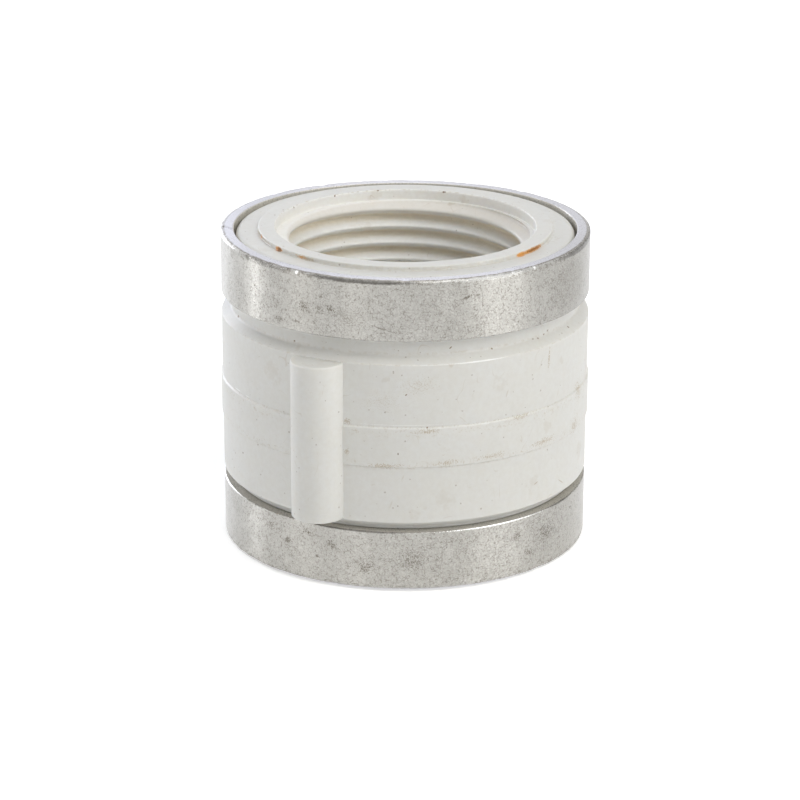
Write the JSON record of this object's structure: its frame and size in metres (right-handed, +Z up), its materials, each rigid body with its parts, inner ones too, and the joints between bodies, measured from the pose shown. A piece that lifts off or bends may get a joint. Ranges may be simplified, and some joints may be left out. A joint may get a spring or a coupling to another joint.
{
  "type": "conduit coupling",
  "caption": "Straight conduit coupling: a moulded plastic sleeve with an internal pipe thread, half-round grip ribs and a bright metal ring round each end.",
  "frame": {"origin": "on the bore axis, in the plane of the lower sealing lip, which the part stands on", "axes": "+Z up along the bore axis, +Y through the ribs, +X square to both"},
  "size_m": [0.0484, 0.055, 0.0416],
  "materials": {
    "body_plastic": "semi-matt moulded, scuffed and soiled",
    "ring_metal": "bright, lightly brushed, scuffed"
  },
  "bodies": {
    "root": {"coupling_body": "body_plastic", "upper_ring": "ring_metal", "lower_ring": "ring_metal"}
  },
  "joints": []
}
